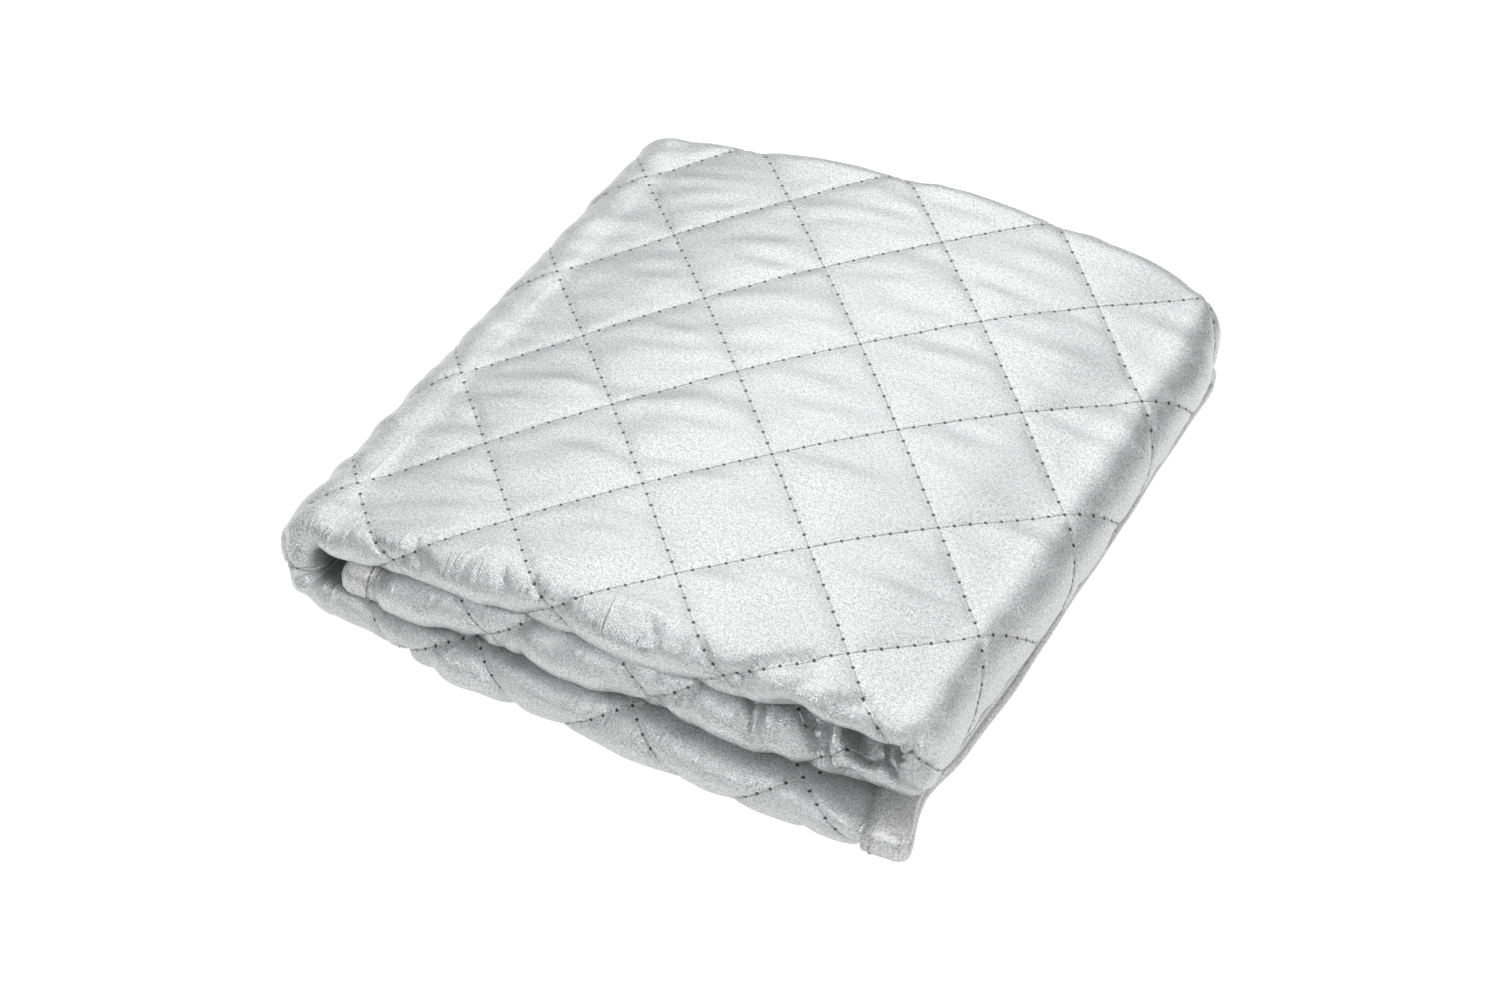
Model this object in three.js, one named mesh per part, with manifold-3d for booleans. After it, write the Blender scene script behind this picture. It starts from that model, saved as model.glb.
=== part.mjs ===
// A quilted foam mat, both long sides folded in to meet along its middle, then letter-folded
// into a flat pack. Millimetres, +Z up. The long folds face -Y and +Y; the two bound long edges
// meet inside the pack.
// The sheet runs lower panel -> left bend -> upper panel -> right bend -> middle panel.
import * as THREE from 'three';
import Module from 'manifold-3d';

const wasm = await Module();
wasm.setup();

// Sheet build-up, all thicknesses in mm.
const CLOTH = 0.6;
const TAPE = 0.6;
const THREAD_HIGH = 0.4;
const THREAD_WIDE = 0.9;
const THREAD_LIFT = 0.45;
const THREAD_LIFT_OUTSIDE = 0.7;
const CLEAR = 0.3;
const INNER_CLEAR = 0.25;
const PANEL_GAP = 1.1;

// Pack outline.
const LEFT_BEND_X = -94.4;
const LEFT_BEND_R = 14;
const LEFT_BEND_Z = 20;
const RIGHT_BEND_X = 98.5;
const RIGHT_BEND_R = 8.15;
const RIGHT_BEND_Z = 28.15;
const LOWER_END_X = 105.2;
const LOWER_END_SKEW = 0.02;
const MIDDLE_END_X = -82;
const BACK_Y = 117.4;
const BACK_SKEW = 4 / 109;
const FRONT_Y = -119.2;
const MEET_Y = 0;
const MEET_GAP = 1.3;
const SECTION_GAP = 0.3;

// Edge tape and its seam.
const TAPE_WIDE = 12;
const PINCH_FLAT = 13;
const PINCH_END = 18;
const EDGE_PINCH = THREAD_HIGH + TAPE + 2 * CLEAR;
const SEAM_FROM_EDGE = 9;

// Quilting: diamonds with their points along X and Y.
const HALF_X = 28.3;
const HALF_Y = 29.63;
const ORIGIN_X = -96.2;
const ORIGIN_Y = 85.9;

// Height of each surface along X, as [x, z] pairs.
const TOP = [[-94.4, 40], [-82, 42.2], [-68, 45.3], [-50, 48.9], [-20, 52.8], [11, 54],
  [45, 52.9], [73, 49], [88, 45.3], [98.5, 43.2]];
const UPPER_THICK = [[-94.4, 12], [-82, 12.4], [-70, 13.4], [-50, 15.4], [-20, 17], [11, 17.4],
  [45, 17], [80, 15.3], [98.5, 13.8]];
const LOWER_TOP = [[-94.4, 12], [-82, 12.2], [-70, 12.9], [-50, 14.8], [-20, 16.8], [11, 17.2],
  [45, 16.6], [70, 14.6], [86, 12.9], [96, 12.3], [109, 12.2]];
const LOWER_FRONT = [[-94, 2.5], [-50, 0.6], [0, 0], [60, 0.6], [109, 3]];
const UPPER_FRONT = [[-94, 2.5], [-50, 0.8], [0, 0], [50, 1.5], [75, 5], [103, 9]];

const SILVER = { color: 0xd3d5d6, roughness: 0.42, metalness: 0.55 };
const FOAM = { color: 0xe9e7df, roughness: 0.95, metalness: 0 };
const BACKING = { color: 0xc4c6c8, roughness: 0.9, metalness: 0 };
const BINDING = { color: 0xdcdedf, roughness: 0.5, metalness: 0.4 };
const THREAD = { color: 0xf1f1ee, roughness: 0.7, metalness: 0 };

const group = new THREE.Group();
group.name = 'folded_quilted_mat';

// Cubic interpolation through a table, level at both ends.
function along(table, x) {
  const last = table.length - 1;
  if (x <= table[0][0]) return table[0][1];
  if (x >= table[last][0]) return table[last][1];
  const i = table.findIndex((row, k) => k < last && x <= table[k + 1][0]);
  const slope = (k) => (k <= 0 || k >= last ? 0
    : (table[k + 1][1] - table[k - 1][1]) / (table[k + 1][0] - table[k - 1][0]));
  const [x0, z0] = table[i];
  const [x1, z1] = table[i + 1];
  const d = x1 - x0;
  const t = (x - x0) / d;
  const t2 = t * t;
  const t3 = t2 * t;
  return z0 * (2 * t3 - 3 * t2 + 1) + z1 * (3 * t2 - 2 * t3)
    + slope(i) * d * (t3 - 2 * t2 + t) + slope(i + 1) * d * (t3 - t2);
}

// One cross-section of the folded strip: its mid-plane point, its outer-ply direction and its size.
// skew leans the section along X, by that much for each mm of Y.
function station(x, z, nx, nz, half, fronts, pinch = 0, skew = 0) {
  return {
    x, z, nx, nz, half, pinch, skew, front: FRONT_Y + along(fronts, x), back: BACK_Y + BACK_SKEW * x,
  };
}

function lowerAt(x) {
  const high = along(LOWER_TOP, x);
  const skew = LOWER_END_SKEW * THREE.MathUtils.smoothstep(x, 40, LOWER_END_X);
  return station(x, high / 2, 0, -1, high / 2, LOWER_FRONT, endPinch(LOWER_END_X - x), skew);
}

function upperAt(x) {
  const half = along(UPPER_THICK, x) / 2;
  return station(x, along(TOP, x) - half, 0, 1, half, UPPER_FRONT);
}

function middleAt(x) {
  const low = along(LOWER_TOP, x) + PANEL_GAP;
  const high = along(TOP, x) - along(UPPER_THICK, x) - PANEL_GAP;
  return station(x, (low + high) / 2, 0, -1, (high - low) / 2, UPPER_FRONT, endPinch(x - MIDDLE_END_X));
}

// turn 0 leaves the lower panel, turn 1 reaches the upper panel.
function leftBendAt(turn) {
  const a = Math.PI * turn;
  const nx = -Math.sin(a);
  const nz = -Math.cos(a);
  const half = along(LOWER_TOP, LEFT_BEND_X) / 2;
  const s = station(LEFT_BEND_X, 0, nx, nz, half, LOWER_FRONT);
  s.x += LEFT_BEND_R * nx;
  s.z = LEFT_BEND_Z + LEFT_BEND_R * nz;
  return s;
}

// turn 0 leaves the upper panel, turn 1 reaches the middle panel.
function rightBendAt(turn) {
  const a = Math.PI * turn;
  const nx = Math.sin(a);
  const nz = Math.cos(a);
  const s = station(RIGHT_BEND_X + RIGHT_BEND_R * nx, 0, nx, nz,
    along(UPPER_THICK, RIGHT_BEND_X) / 2, UPPER_FRONT);
  s.z = RIGHT_BEND_Z + RIGHT_BEND_R * nz;
  return s;
}

function endPinch(fromEnd) {
  return THREE.MathUtils.clamp((PINCH_END - fromEnd) / (PINCH_END - PINCH_FLAT), 0, 1);
}

function inSection(s, y, w) {
  return new THREE.Vector3(s.x + s.nx * w - s.skew * y, y, s.z + s.nz * w);
}

// A point on a flat ply. side 1 is the outer ply, -1 the inner one.
function onPly(s, side, y, r) {
  return inSection(s, y, side * r);
}

// A point on the front or back lengthwise fold, turn 0 at the outer ply and 1 at the inner ply.
function onFront(s, turn, r) {
  return inSection(s, s.front + s.half - r * Math.sin(Math.PI * turn), r * Math.cos(Math.PI * turn));
}

function onBack(s, turn, r) {
  return inSection(s, s.back - s.half + r * Math.sin(Math.PI * turn), r * Math.cos(Math.PI * turn));
}

// Radii of every layer from the strip's mid-plane, narrowed where the edge tape holds the plies.
function radii(s, pinch) {
  const face = s.half - pinch * EDGE_PINCH;
  const back = INNER_CLEAR + pinch * (TAPE + CLEAR);
  return {
    face: [face, face - CLOTH],
    core: [face - CLOTH - CLEAR, back + CLOTH + CLEAR],
    backing: [back + CLOTH, back],
  };
}

const FRONT_TURNS = Array.from({ length: 8 }, (_, i) => i / 7);
const BACK_TURNS = Array.from({ length: 6 }, (_, i) => i / 5);
const FROM_EDGE = [0, PINCH_FLAT, PINCH_END];

// Where a point of a flap lies, measured in from its bound edge. way 1 is the back flap, -1 the front.
const flapY = (way, e) => MEET_Y + way * (MEET_GAP + e);

function layerRing(s, layer) {
  const line = (k) => {
    const pinchAt = (e) => Math.max(s.pinch, endPinch(e));
    const flap = (way, e) => onPly(s, -1, flapY(way, e), radii(s, pinchAt(e))[layer][k]);
    const r = radii(s, s.pinch)[layer][k];
    return [
      ...FROM_EDGE.map((e) => flap(1, e)),
      ...BACK_TURNS.map((t) => onBack(s, 1 - t, r)),
      ...FRONT_TURNS.map((t) => onFront(s, t, r)),
      ...FROM_EDGE.map((e) => flap(-1, e)).reverse(),
    ];
  };
  return [...line(0), ...line(1).reverse()];
}

// A closed solid through equal rings of points. flat is one ring in 2-D, for the two end caps.
function sweep(rings, flat) {
  const n = rings[0].length;
  const positions = rings.flat().flatMap((p) => [p.x, p.y, p.z]);
  const faces = [];
  for (let i = 0; i < rings.length - 1; i += 1) {
    for (let j = 0; j < n; j += 1) {
      const a = i * n + j;
      const b = i * n + ((j + 1) % n);
      if (j < n / 2) faces.push([a, b, b + n], [a, b + n, a + n]);
      else faces.push([a, b, a + n], [b, b + n, a + n]);
    }
  }
  const area = THREE.ShapeUtils.area(flat);
  const last = (rings.length - 1) * n;
  for (const [a, b, c] of THREE.ShapeUtils.triangulateShape(flat, [])) {
    const same = THREE.ShapeUtils.area([flat[a], flat[b], flat[c]]) * area > 0;
    const [p, q] = same ? [b, c] : [c, b];
    faces.push([a, q, p], [last + a, last + p, last + q]);
  }
  return outward(positions, faces);
}

function outward(positions, faces) {
  const at = (i) => new THREE.Vector3().fromArray(positions, 3 * i);
  const volume = faces.reduce((sum, [a, b, c]) => sum + at(a).dot(at(b).cross(at(c))), 0);
  const index = faces.flatMap(([a, b, c]) => (volume > 0 ? [a, b, c] : [a, c, b]));
  const geometry = new THREE.BufferGeometry();
  geometry.setAttribute('position', new THREE.Float32BufferAttribute(positions, 3));
  geometry.setIndex(index);
  return geometry;
}

function add(name, geometry, look) {
  geometry.computeVertexNormals();
  const mesh = new THREE.Mesh(geometry, new THREE.MeshStandardMaterial(look));
  mesh.name = name;
  group.add(mesh);
}

function steps(from, to, list) {
  const inside = list.filter((v) => (v - from) * (v - to) < 0);
  return [from, ...(from < to ? inside.sort((a, b) => a - b) : inside.sort((a, b) => b - a)), to];
}

const GRID_X = [-69, -64, -50, -30, -10, 11, 30, 50, 66, 78, 87.2, 92.2];
const UPPER_GRID = [...GRID_X, -89, -82, 95.5];
const TURNS = Array.from({ length: 10 }, (_, i) => i / 9);

// The three lengths the sheet is cut into at the left bend, as lists of stations.
const STRIPS = {
  lower: steps(LOWER_END_X, LEFT_BEND_X + SECTION_GAP, GRID_X).map(lowerAt),
  fold: TURNS.map(leftBendAt),
  upper: [
    ...steps(LEFT_BEND_X + SECTION_GAP, RIGHT_BEND_X, UPPER_GRID).slice(0, -1).map(upperAt),
    ...TURNS.map(rightBendAt),
    ...steps(RIGHT_BEND_X, MIDDLE_END_X, GRID_X).slice(1).map(middleAt),
  ],
};

function layers() {
  for (const [part, stations] of Object.entries(STRIPS)) {
    for (const [layer, node, look] of [['face', 'face_cloth', SILVER], ['core', 'foam_core', FOAM],
      ['backing', 'backing_cloth', BACKING]]) {
      const rings = stations.map((s) => layerRing(s, layer));
      const s = stations[0];
      const flat = rings[0].map((p) => new THREE.Vector2(p.y, (p.x - s.x) * s.nx + (p.z - s.z) * s.nz));
      add(`${node}_${part}`, sweep(rings, flat), look);
    }
  }
}

// Radii of the edge tape and of the seam on its outer leg.
function tapeRadii(s) {
  const under = radii(s, 1).face[0] + CLEAR;
  const outer = under + TAPE;
  return {
    under, outer, inner: INNER_CLEAR, lining: INNER_CLEAR + TAPE,
    seamLow: outer + CLEAR, seamHigh: outer + CLEAR + THREAD_HIGH,
  };
}

// Channel section of the tape and section of its seam, as [distance in from the edge, which radius].
const TAPE_SECTION = [[TAPE_WIDE, 'outer'], [-CLEAR - TAPE, 'outer'], [-CLEAR - TAPE, 'inner'],
  [TAPE_WIDE, 'inner'], [TAPE_WIDE, 'lining'], [-CLEAR, 'lining'], [-CLEAR, 'under'],
  [TAPE_WIDE, 'under']];
const SEAM_SECTION = [[SEAM_FROM_EDGE, 'seamLow'], [SEAM_FROM_EDGE, 'seamHigh'],
  [SEAM_FROM_EDGE + THREAD_WIDE, 'seamHigh'], [SEAM_FROM_EDGE + THREAD_WIDE, 'seamLow']];

const asFlat = (section, s) => section.map(([e, key]) => new THREE.Vector2(e, tapeRadii(s)[key]));

// Tape and seam along a long edge. The last stations stop short of the end tape's leg.
function sideBinding(part, stations) {
  for (const [way, flap] of [[1, 'back'], [-1, 'front']]) {
    for (const [node, section, look] of [['side_binding', TAPE_SECTION, BINDING],
      ['side_seam', SEAM_SECTION, THREAD]]) {
      const rings = stations.map((s) => section.map(
        ([e, key]) => onPly(s, -1, flapY(way, e), tapeRadii(s)[key])));
      add(`${node}_${flap}_${part}`, sweep(rings, asFlat(section, stations[0])), look);
    }
  }
}

function sideBindings() {
  const clearOfEnd = TAPE_WIDE + CLEAR + 0.2;
  const lower = steps(LOWER_END_X - clearOfEnd, LEFT_BEND_X + SECTION_GAP, GRID_X).map(lowerAt);
  const upper = STRIPS.upper.filter((s) => s.pinch < 1 || s.x > MIDDLE_END_X + clearOfEnd);
  sideBinding('lower', lower);
  sideBinding('fold', STRIPS.fold);
  sideBinding('upper', upper);
}

// Tape and seam round an end of the strip, from one bound edge over both folds to the other.
function endBinding(end, at, inwards) {
  const walk = [
    (s, r) => onPly(s, -1, flapY(1, 0), r),
    ...BACK_TURNS.map((t) => (s, r) => onBack(s, 1 - t, r)),
    ...FRONT_TURNS.map((t) => (s, r) => onFront(s, t, r)),
    (s, r) => onPly(s, -1, flapY(-1, 0), r),
  ];
  const stationIn = (e) => ({ ...at(end + inwards * Math.max(e, 0)), x: end + inwards * e });
  for (const [node, section, look] of [['end_binding', TAPE_SECTION, BINDING],
    ['end_seam', SEAM_SECTION, THREAD]]) {
    const rings = walk.map((put) => section.map(([e, key]) => put(stationIn(e), tapeRadii(stationIn(e))[key])));
    add(`${node}_${inwards < 0 ? 'lower' : 'middle'}`, sweep(rings, asFlat(section, stationIn(0))), look);
  }
}

// How far round the lengthwise fold a line at y has gone: below 0 on the outer ply, above 1 on the inner.
function rollTurn(s, y) {
  return (s.front + s.half - y) / (Math.PI * s.half);
}

// The same for the back fold.
function backTurn(s, y) {
  return (y - s.back + s.half) / (Math.PI * s.half);
}

// Where the outer face is at a distance run along the strip and a distance run across it.
function onFace(strip, run, y, lift) {
  const s = strip(run);
  const flat = s.front + s.half;
  const turn = rollTurn(s, y);
  if (backTurn(s, y) > 0) return onBack(s, Math.min(backTurn(s, y), 1), s.half + lift);
  if (turn <= 0) return onPly(s, 1, y, s.half + lift);
  if (turn <= 1) return onFront(s, turn, s.half + lift);
  return onPly(s, -1, flat + (turn - 1) * Math.PI * s.half, s.half + lift);
}

const LEFT_ARC = Math.PI * LEFT_BEND_Z;
const RIGHT_ARC = Math.PI * (RIGHT_BEND_R + along(UPPER_THICK, RIGHT_BEND_X) / 2);

// Stations by the distance run along the outer face, equal to x on the upper panel.
function stripAt(run) {
  if (run < LEFT_BEND_X - LEFT_ARC) return lowerAt(2 * LEFT_BEND_X - LEFT_ARC - run);
  if (run < LEFT_BEND_X) return leftBendAt(1 - (LEFT_BEND_X - run) / LEFT_ARC);
  if (run <= RIGHT_BEND_X) return upperAt(run);
  if (run < RIGHT_BEND_X + RIGHT_ARC) return rightBendAt((run - RIGHT_BEND_X) / RIGHT_ARC);
  return middleAt(2 * RIGHT_BEND_X + RIGHT_ARC - run);
}

// One thread laid along a line of [run, y] points, as a low ribbon just clear of the cloth.
function threadRun(points, lift) {
  const spots = points.map(([run, y]) => {
    const low = onFace(stripAt, run, y, lift);
    return { low, out: onFace(stripAt, run, y, lift + 1).sub(low) };
  });
  const rings = spots.map(({ low, out }, i) => {
    const ahead = spots[Math.min(i + 1, spots.length - 1)].low;
    const behind = spots[Math.max(i - 1, 0)].low;
    const side = ahead.clone().sub(behind).cross(out).setLength(THREAD_WIDE / 2);
    const up = out.clone().setLength(THREAD_HIGH);
    return [low.clone().sub(side), low.clone().add(side), low.clone().add(side).add(up),
      low.clone().sub(side).add(up)];
  });
  const flat = [[0, 0], [1, 0], [1, 1], [0, 1]].map(([a, b]) => new THREE.Vector2(a, b));
  return sweep(rings, flat);
}

// The quilting lines inside a window of run and y, with short steps where the face is tightly curved.
function quiltLines(window) {
  const { fromRun, toRun, fromY, toY, fine } = window;
  const lines = [];
  for (const lean of [1, -1]) {
    for (let k = -30; k <= 30; k += 1) {
      const points = [];
      const yAt = (run) => ORIGIN_Y + lean * HALF_Y * ((run - ORIGIN_X) / HALF_X - 2 * k);
      const runAt = (y) => ORIGIN_X + HALF_X * (2 * k + lean * (y - ORIGIN_Y) / HALF_Y);
      const ends = [runAt(fromY), runAt(toY)].sort((a, b) => a - b);
      const start = Math.max(fromRun, ends[0]);
      const stop = Math.min(toRun, ends[1]);
      if (stop - start < SHORTEST_RUN) continue;
      let run = start;
      while (run < stop - 0.5) {
        points.push([run, yAt(run)]);
        run += fine(run, yAt(run)) ? HALF_X / 8 : HALF_X / 3;
      }
      points.push([stop, yAt(stop)]);
      const kept = points.filter(([r, y]) => rollTurn(stripAt(r), y) <= window.toTurn);
      if (kept.length > 6) lines.push(kept);
    }
  }
  return lines;
}

function asManifold(geometry) {
  return new wasm.Manifold(new wasm.Mesh({
    numProp: 3,
    vertProperties: new Float32Array(geometry.attributes.position.array),
    triVerts: new Uint32Array(geometry.index.array),
  }));
}

function quiltingNet(name, window) {
  const joined = wasm.Manifold.union(quiltLines(window).map((line) => asManifold(threadRun(line, window.lift))));
  // Short runs cut off by the window's corners are left out.
  const net = joined.decompose().sort((a, b) => b.numTri() - a.numTri())[0];
  const mesh = net.getMesh();
  const geometry = new THREE.BufferGeometry();
  geometry.setAttribute('position', new THREE.Float32BufferAttribute(mesh.vertProperties, 3));
  geometry.setIndex(Array.from(mesh.triVerts));
  add(name, geometry, THREAD);
}

const EDGE_CLEAR = TAPE_WIDE + 2;
const SHORTEST_RUN = 26;
const UNDER_ROLL_Y = FRONT_Y - 12;
const OVER_BACK_Y = BACK_Y + 1;
const UNDER_ROLL_TURN = 0.68;
const INSIDE_BEND_TURN = 0.9;
const PAST_ROLL_TURN = 1.7;
const PAST_ROLL_Y = -155;

function quilting() {
  const tight = (run, y) => y < -100 || y > 104 || run > RIGHT_BEND_X - 15 || run < -72;
  quiltingNet('quilting_thread_upper', {
    fromRun: LEFT_BEND_X + SECTION_GAP + 0.2, toRun: RIGHT_BEND_X + 0.78 * RIGHT_ARC,
    fromY: UNDER_ROLL_Y, toY: OVER_BACK_Y, fine: tight, lift: THREAD_LIFT_OUTSIDE,
    toTurn: UNDER_ROLL_TURN,
  });
  quiltingNet('quilting_thread_fold', {
    fromRun: LEFT_BEND_X - 0.82 * LEFT_ARC, toRun: LEFT_BEND_X - 0.3,
    fromY: UNDER_ROLL_Y, toY: OVER_BACK_Y, fine: () => true, lift: THREAD_LIFT_OUTSIDE,
    toTurn: INSIDE_BEND_TURN,
  });
  quiltingNet('quilting_thread_middle', {
    fromRun: RIGHT_BEND_X + RIGHT_ARC + 6, toRun: 2 * RIGHT_BEND_X + RIGHT_ARC - MIDDLE_END_X - EDGE_CLEAR,
    fromY: PAST_ROLL_Y, toY: -116.5, fine: () => true, lift: THREAD_LIFT,
    toTurn: PAST_ROLL_TURN,
  });
  quiltingNet('quilting_thread_lower', {
    fromRun: 2 * LEFT_BEND_X - LEFT_ARC - LOWER_END_X + EDGE_CLEAR, toRun: LEFT_BEND_X - LEFT_ARC - 1,
    fromY: PAST_ROLL_Y, toY: -116.5, fine: () => true, lift: THREAD_LIFT,
    toTurn: PAST_ROLL_TURN,
  });
}

function centre() {
  const box = new THREE.Box3();
  for (const mesh of group.children) box.expandByObject(mesh);
  const middle = box.getCenter(new THREE.Vector3());
  for (const mesh of group.children) mesh.geometry.translate(-middle.x, -middle.y, -box.min.z);
}

layers();
sideBindings();
endBinding(LOWER_END_X, lowerAt, -1);
endBinding(MIDDLE_END_X, middleAt, 1);
quilting();
centre();

export default group;
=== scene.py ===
import math

import bpy
import numpy as np
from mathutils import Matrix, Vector


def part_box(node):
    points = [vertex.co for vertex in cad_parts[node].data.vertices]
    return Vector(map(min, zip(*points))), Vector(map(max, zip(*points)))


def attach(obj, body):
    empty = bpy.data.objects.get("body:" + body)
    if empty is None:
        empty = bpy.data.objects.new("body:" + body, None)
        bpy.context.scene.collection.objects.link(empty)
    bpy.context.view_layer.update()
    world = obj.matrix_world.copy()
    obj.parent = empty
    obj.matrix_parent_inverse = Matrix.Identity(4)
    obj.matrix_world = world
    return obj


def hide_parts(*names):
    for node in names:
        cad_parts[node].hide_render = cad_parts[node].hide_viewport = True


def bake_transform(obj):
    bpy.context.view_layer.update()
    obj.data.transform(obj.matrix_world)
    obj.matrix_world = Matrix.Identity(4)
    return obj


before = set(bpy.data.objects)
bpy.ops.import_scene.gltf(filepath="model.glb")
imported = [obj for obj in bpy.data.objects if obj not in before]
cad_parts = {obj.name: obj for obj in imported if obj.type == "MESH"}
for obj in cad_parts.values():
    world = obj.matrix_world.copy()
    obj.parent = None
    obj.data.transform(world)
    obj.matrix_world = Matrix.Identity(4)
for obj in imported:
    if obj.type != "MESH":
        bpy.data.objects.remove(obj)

# A quilted silver mat with taped edges. Its two long sides are folded in to meet along the middle,
# and the long strip that this gives is folded in three, like a letter.
#
# Lengths are in millimetres, in the frame of the pack before it is centred. The sheet is described
# by two distances along its silver face: run, along the folded strip (equal to x on the upper
# panel), and b, across it (equal to y on the upper panel's top ply). Runs below LEFT_X are on the
# outer fold and the lower panel, and runs above RIGHT_X on the right bend and the middle panel.

# The two bends: the x where they start, and the radius and height of the padding's mid-plane.
LEFT_X, LEFT_R, LEFT_Z = -94.4, 14.0, 20.0
RIGHT_X, RIGHT_R, RIGHT_Z = 98.5, 8.15, 28.15
# Half the thickness of the doubled padding in each bend, and the run of the quilting round it.
LEFT_HALF, RIGHT_HALF = 6.0, 6.9
LEFT_ARC = math.pi * (LEFT_R + LEFT_HALF)
RIGHT_ARC = 40.3
# The x of the strip's two bound ends, and the gap between panels that lie on each other.
LOWER_END, MIDDLE_END = 105.2, -87.5
PANEL_GAP = 1.1

# The back edge's y at x = 0, its slope and how far its right corner is rounded off; the front
# edge's y; where the folded-in sides meet, and half the gap between them.
BACK_Y, BACK_SKEW, BACK_CORNER = 117.4, 4 / 109, 6.0
FRONT_Y = -119.2
MEET_Y, MEET_GAP = 0.0, 1.3

# Quilting: half diagonals of a diamond, one crossing of two seams, mesh cells along a half
# diagonal, stitches along a diamond's side, and the distance between parallel seams.
HALF_X, HALF_Y = 28.3, 29.63
ORIGIN_X, ORIGIN_Y = -96.2, 85.9
CELLS = 16
STITCHES = 8
SIDE = math.hypot(HALF_X, HALF_Y)
SEAM_PITCH = 2 * HALF_X * HALF_Y / SIDE

# Edge tapes: their width, and how much they press the padding in.
TAPE_WIDE = 12.0
EDGE_PINCH = 1.1

# Pairs of x and the height of the upper panel's top, the thickness of the upper panel, and the
# height of the lower panel's top.
TOP = [(-94.4, 40), (-82, 42.2), (-68, 45.3), (-50, 48.9), (-20, 52.8), (11, 54),
       (45, 52.9), (73, 49), (88, 45.3), (98.5, 43.2)]
UPPER_THICK = [(-94.4, 12), (-82, 12.4), (-70, 13.4), (-50, 15.4), (-20, 17), (11, 17.4),
               (45, 17), (80, 15.3), (98.5, 13.8)]
LOWER_TOP = [(-94.4, 12), (-82, 12.2), (-70, 12.9), (-50, 14.8), (-20, 16.8), (11, 17.2),
             (45, 16.6), (70, 14.6), (86, 12.9), (96, 12.3), (109, 12.2)]
# Pairs of x and how far a panel's front edge lies behind FRONT_Y.
LOWER_FRONT = [(-114, 6), (-94, 3.8), (-80, 2.2), (-60, -1.6), (-40, -3.6), (0, -4.6),
               (50, -5.8), (80, -4.8), (109, -2.4)]
UPPER_FRONT = [(-114, 3), (-94, 2.5), (-50, 0.8), (0, 0), (50, 1.5), (75, 5), (103, 9)]

RUN_FOLD = LEFT_X - LEFT_ARC
RUN_LOWER_END = LEFT_X + RUN_FOLD - LOWER_END
RUN_MIDDLE = RIGHT_X + RIGHT_ARC
RUN_MIDDLE_END = RIGHT_X + RUN_MIDDLE - MIDDLE_END

# The outer fold's face cloth ends at LEFT_X and at FOLD_BACK_Y, which ties this frame to the
# centred one.
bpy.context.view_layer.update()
_, fold_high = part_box("face_cloth_fold")
FOLD_BACK_Y = 113.642
SHIFT = np.array([fold_high.x * 1000 - LEFT_X, fold_high.y * 1000 - FOLD_BACK_Y, 0.0])


def smooth(t):
    """Eases from 0 to 1 as t goes from 0 to 1."""
    t = np.clip(t, 0.0, 1.0)
    return t * t * (3 - 2 * t)


def along(table, x):
    """Cubic interpolation through a table of pairs, level at both ends."""
    xs, zs = (np.array(c, float) for c in zip(*table))
    slope = np.zeros(len(xs))
    slope[1:-1] = (zs[2:] - zs[:-2]) / (xs[2:] - xs[:-2])
    x = np.clip(np.asarray(x, float), xs[0], xs[-1])
    i = np.clip(np.searchsorted(xs, x, side="right") - 1, 0, len(xs) - 2)
    d = xs[i + 1] - xs[i]
    t = (x - xs[i]) / d
    t2, t3 = t * t, t * t * t
    return (zs[i] * (2 * t3 - 3 * t2 + 1) + zs[i + 1] * (3 * t2 - 2 * t3)
            + slope[i] * d * (t3 - 2 * t2 + t) + slope[i + 1] * d * (t3 - t2))


def hem_sway(y):
    """How far the lower panel's bound end is drawn in along its length."""
    return (3.0 * np.exp(-((y + 94) / 13) ** 2) + 1.1 * smooth((-35 - y) / 40)
            - 2.2 * smooth((-104 - y) / 14))


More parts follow.
